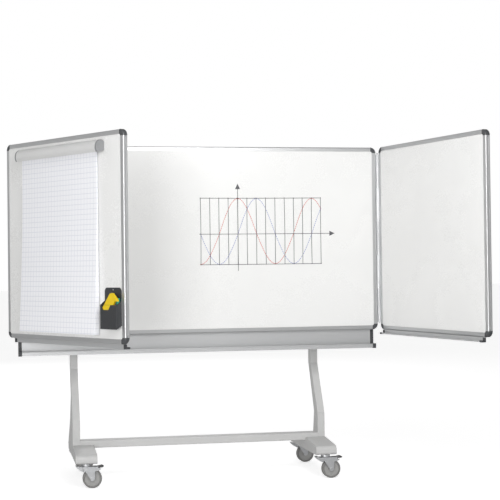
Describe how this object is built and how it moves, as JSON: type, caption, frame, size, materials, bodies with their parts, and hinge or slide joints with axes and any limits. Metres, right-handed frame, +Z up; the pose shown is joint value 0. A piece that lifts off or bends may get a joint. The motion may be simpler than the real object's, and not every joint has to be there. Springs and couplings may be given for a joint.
{
  "type": "rolling whiteboard",
  "caption": "Wheeled stand with a wide whiteboard, two hinged wings, pen trays, a paper-pad clamp and a pen box.",
  "frame": {"origin": "on the floor, under the middle of the centre board, in the plane of its writing-side frame face", "axes": "+Z up, +X along the centre board, to the right when facing its writing side, +Y behind the board"},
  "size_m": [2.302, 1.3973, 1.7925],
  "materials": {
    "enamel": "gloss white enamel",
    "core": "honeycomb board",
    "frame": "satin anodised",
    "corner_plastic": "fine textured",
    "tray": "satin anodised",
    "tray_cap_plastic": "fine textured",
    "hinge": "satin anodised",
    "pin_steel": "plain",
    "stand_paint": "light grey powder coat",
    "column_cap_plastic": "smooth",
    "bracket_paint": "light grey powder coat",
    "zinc": "zinc plated",
    "wheel_plastic": "smooth",
    "tread": "grey non-marking",
    "pedal_plastic": "textured",
    "clamp_aluminium": "satin anodised",
    "clamp_end_plastic": "smooth",
    "peg_steel": "plain",
    "paper": "matt, printed with a pale grid",
    "holder_plastic": "fine textured",
    "eraser_plastic": "smooth",
    "felt": "felt",
    "marker_barrel": "smooth",
    "green_cap": "smooth",
    "black_cap": "smooth"
  },
  "bodies": {
    "stand": {"column_left": "stand_paint", "column_right": "stand_paint", "foot_left": "stand_paint", "foot_right": "stand_paint", "cross_beam": "stand_paint", "column_caps": "column_cap_plastic", "board_brackets": "bracket_paint", "stand_fasteners": "zinc", "caster_heads": "zinc", "centre_core": "core", "centre_sheets": "enamel", "centre_frame": "frame", "centre_corners": "corner_plastic", "centre_tray": "tray", "centre_tray_caps": "tray_cap_plastic", "centre_hinge_leaves": "hinge", "hinge_pins": "pin_steel"},
    "wing_left": {"left_core": "core", "left_sheets": "enamel", "left_frame": "frame", "left_corners": "corner_plastic", "left_tray": "tray", "left_tray_caps": "tray_cap_plastic", "left_hinge_leaf": "hinge", "clamp_base": "clamp_aluminium", "clamp_ends": "clamp_end_plastic", "clamp_pegs": "peg_steel", "flipchart_pad": "paper", "pen_holder": "holder_plastic"},
    "wing_right": {"right_core": "core", "right_sheets": "enamel", "right_frame": "frame", "right_corners": "corner_plastic", "right_tray": "tray", "right_tray_caps": "tray_cap_plastic", "right_hinge_leaf": "hinge"},
    "clamp_lid": {"clamp_cover": "clamp_aluminium"},
    "eraser": {"eraser_body": "eraser_plastic", "eraser_felt": "felt"},
    "green_marker": {"marker_green": "marker_barrel"},
    "green_marker_top": {"marker_green_cap": "green_cap"},
    "black_marker": {"marker_black": "marker_barrel"},
    "black_marker_top": {"marker_black_cap": "black_cap"},
    "swivel_fl": {"fork_fl": "zinc"},
    "roller_fl": {"wheel_fl": "wheel_plastic", "tyre_fl": "tread"},
    "brake_fl": {"pedal_fl": "pedal_plastic"},
    "swivel_fr": {"fork_fr": "zinc"},
    "roller_fr": {"wheel_fr": "wheel_plastic", "tyre_fr": "tread"},
    "brake_fr": {"pedal_fr": "pedal_plastic"},
    "swivel_rl": {"fork_rl": "zinc"},
    "roller_rl": {"wheel_rl": "wheel_plastic", "tyre_rl": "tread"},
    "brake_rl": {"pedal_rl": "pedal_plastic"},
    "swivel_rr": {"fork_rr": "zinc"},
    "roller_rr": {"wheel_rr": "wheel_plastic", "tyre_rr": "tread"},
    "brake_rr": {"pedal_rr": "pedal_plastic"}
  },
  "joints": [
    {"name": "left_wing_swing", "type": "hinge", "parent": "stand", "child": "wing_left", "pos_m": [-1.007, -0.003, 1.286], "axis": [0, 0, 1], "range_deg": [-122, 58]},
    {"name": "right_wing_swing", "type": "hinge", "parent": "stand", "child": "wing_right", "pos_m": [1.007, -0.003, 1.286], "axis": [0, 0, 1], "range_deg": [-103.7, 76.3]},
    {"name": "clamp_lid_tilt", "type": "hinge", "parent": "wing_left", "child": "clamp_lid", "pos_m": [-0.77452, -0.46265, 1.746], "axis": [-0.5299, 0.848, 0], "range_deg": [0, 60]},
    {"name": "eraser_lift", "type": "slide", "parent": "wing_left", "child": "eraser", "axis": [0, 0, 1], "range_m": [0, 0.2]},
    {"name": "green_marker_lift", "type": "slide", "parent": "wing_left", "child": "green_marker", "axis": [0, 0, 1], "range_m": [0, 0.2]},
    {"name": "green_marker_top_pull", "type": "slide", "parent": "green_marker", "child": "green_marker_top", "axis": [0, 0, 1], "range_m": [0, 0.05]},
    {"name": "black_marker_lift", "type": "slide", "parent": "wing_left", "child": "black_marker", "axis": [0, 0, 1], "range_m": [0, 0.2]},
    {"name": "black_marker_top_pull", "type": "slide", "parent": "black_marker", "child": "black_marker_top", "axis": [0, 0, 1], "range_m": [0, 0.05]},
    {"name": "swivel_fl_turn", "type": "hinge", "parent": "stand", "child": "swivel_fl", "pos_m": [-0.639, -0.18, 0.11], "axis": [0, 0, 1], "continuous": true},
    {"name": "roller_fl_spin", "type": "hinge", "parent": "swivel_fl", "child": "roller_fl", "pos_m": [-0.609, -0.18, 0.05], "axis": [0, 1, 0], "continuous": true},
    {"name": "brake_fl_press", "type": "hinge", "parent": "swivel_fl", "child": "brake_fl", "pos_m": [-0.587, -0.18, 0.1035], "axis": [0, 1, 0], "range_deg": [0, 8]},
    {"name": "swivel_fr_turn", "type": "hinge", "parent": "stand", "child": "swivel_fr", "pos_m": [0.639, -0.18, 0.11], "axis": [0, 0, 1], "continuous": true},
    {"name": "roller_fr_spin", "type": "hinge", "parent": "swivel_fr", "child": "roller_fr", "pos_m": [0.669, -0.18, 0.05], "axis": [0, 1, 0], "continuous": true},
    {"name": "brake_fr_press", "type": "hinge", "parent": "swivel_fr", "child": "brake_fr", "pos_m": [0.691, -0.18, 0.1035], "axis": [0, 1, 0], "range_deg": [0, 8]},
    {"name": "swivel_rl_turn", "type": "hinge", "parent": "stand", "child": "swivel_rl", "pos_m": [-0.639, 0.387, 0.11], "axis": [0, 0, 1], "continuous": true},
    {"name": "roller_rl_spin", "type": "hinge", "parent": "swivel_rl", "child": "roller_rl", "pos_m": [-0.609, 0.387, 0.05], "axis": [0, 1, 0], "continuous": true},
    {"name": "brake_rl_press", "type": "hinge", "parent": "swivel_rl", "child": "brake_rl", "pos_m": [-0.587, 0.387, 0.1035], "axis": [0, 1, 0], "range_deg": [0, 8]},
    {"name": "swivel_rr_turn", "type": "hinge", "parent": "stand", "child": "swivel_rr", "pos_m": [0.639, 0.387, 0.11], "axis": [0, 0, 1], "continuous": true},
    {"name": "roller_rr_spin", "type": "hinge", "parent": "swivel_rr", "child": "roller_rr", "pos_m": [0.669, 0.387, 0.05], "axis": [0, 1, 0], "continuous": true},
    {"name": "brake_rr_press", "type": "hinge", "parent": "swivel_rr", "child": "brake_rr", "pos_m": [0.691, 0.387, 0.1035], "axis": [0, 1, 0], "range_deg": [0, 8]}
  ]
}
